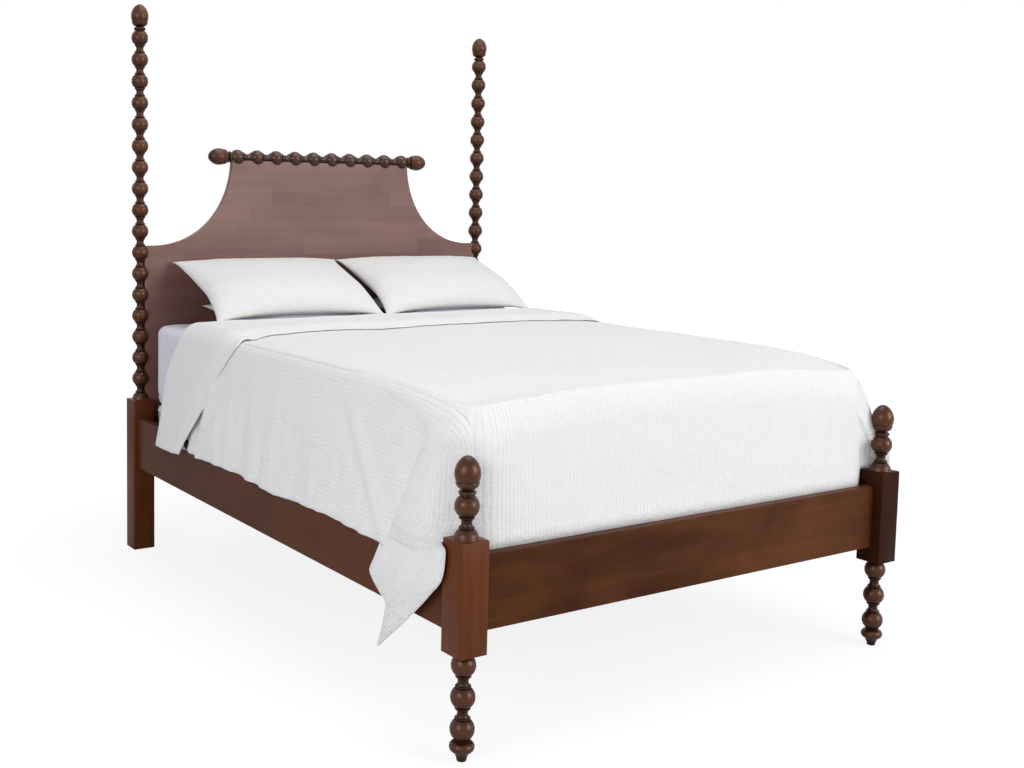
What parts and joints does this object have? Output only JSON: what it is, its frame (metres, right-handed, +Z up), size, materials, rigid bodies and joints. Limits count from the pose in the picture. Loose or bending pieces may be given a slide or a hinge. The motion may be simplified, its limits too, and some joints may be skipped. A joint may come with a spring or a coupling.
{
  "type": "bed",
  "caption": "Spindle bed with bobbin-turned posts, acorn finials, a swept headboard panel under a bobbin rail, hook-on rails and slats, made up with mattress, duvet and pillows.",
  "frame": {"origin": "on the floor under the middle of the bed", "axes": "+X right as seen from the foot end, +Y towards the headboard, +Z up"},
  "size_m": [1.723, 2.21, 2.0589],
  "materials": {
    "post_wood": "satin lacquer",
    "panel_wood": "satin lacquer",
    "rail_wood": "satin lacquer",
    "slat_wood": "bare softwood",
    "fitting_steel": "zinc plated",
    "glide_plastic": "moulded",
    "foundation_cloth": "woven cover",
    "mattress_cloth": "knitted ticking",
    "sheet_cotton": "plain cotton",
    "duvet_cotton": "puckered cotton",
    "pillow_cotton": "plain cotton",
    "sham_cotton": "puckered cotton"
  },
  "bodies": {
    "bedstead": {"head_post_left": "post_wood", "head_post_right": "post_wood", "foot_post_left": "post_wood", "foot_post_right": "post_wood", "head_finials": "post_wood", "foot_finials": "post_wood", "top_bobbin_rail": "post_wood", "top_rail_finials": "post_wood", "headboard_panel": "panel_wood", "headboard_rail": "rail_wood", "foot_rail": "rail_wood", "side_rail_left": "rail_wood", "side_rail_right": "rail_wood", "ledger_left": "slat_wood", "ledger_right": "slat_wood", "slat_1": "slat_wood", "slat_2": "slat_wood", "slat_3": "slat_wood", "slat_4": "slat_wood", "slat_5": "slat_wood", "support_leg_1": "slat_wood", "support_leg_2": "slat_wood", "support_leg_3": "slat_wood", "rail_hook_plates": "fitting_steel", "post_slot_plates": "fitting_steel", "foundation": "foundation_cloth"},
    "mattress": {"mattress": "mattress_cloth", "fitted_sheet": "sheet_cotton"},
    "duvet": {"duvet": "duvet_cotton"},
    "sleeping_pillow_left": {"sleeping_pillow_left": "pillow_cotton"},
    "sham_left": {"sham_left": "sham_cotton"},
    "sleeping_pillow_right": {"sleeping_pillow_right": "pillow_cotton"},
    "sham_right": {"sham_right": "sham_cotton"},
    "leveling_glide_1": {"leveling_glide_1": "glide_plastic"},
    "leveling_glide_2": {"leveling_glide_2": "glide_plastic"},
    "leveling_glide_3": {"leveling_glide_3": "glide_plastic"}
  },
  "joints": [
    {"name": "mattress_lift", "type": "slide", "parent": "bedstead", "child": "mattress", "axis": [0, 0, 1], "range_m": [0, 0.25]},
    {"name": "duvet_lift", "type": "slide", "parent": "mattress", "child": "duvet", "axis": [0, 0, 1], "range_m": [0, 0.2]},
    {"name": "sleeping_pillow_left_lift", "type": "slide", "parent": "mattress", "child": "sleeping_pillow_left", "axis": [0, 0, 1], "range_m": [0, 0.15]},
    {"name": "sham_left_lift", "type": "slide", "parent": "sleeping_pillow_left", "child": "sham_left", "axis": [0, 0, 1], "range_m": [0, 0.15]},
    {"name": "sleeping_pillow_right_lift", "type": "slide", "parent": "mattress", "child": "sleeping_pillow_right", "axis": [0, 0, 1], "range_m": [0, 0.15]},
    {"name": "sham_right_lift", "type": "slide", "parent": "sleeping_pillow_right", "child": "sham_right", "axis": [0, 0, 1], "range_m": [0, 0.15]},
    {"name": "leveling_glide_1_screw", "type": "slide", "parent": "bedstead", "child": "leveling_glide_1", "axis": [0, 0, 1], "range_m": [0, 0.008]},
    {"name": "leveling_glide_2_screw", "type": "slide", "parent": "bedstead", "child": "leveling_glide_2", "axis": [0, 0, 1], "range_m": [0, 0.008]},
    {"name": "leveling_glide_3_screw", "type": "slide", "parent": "bedstead", "child": "leveling_glide_3", "axis": [0, 0, 1], "range_m": [0, 0.008]}
  ]
}
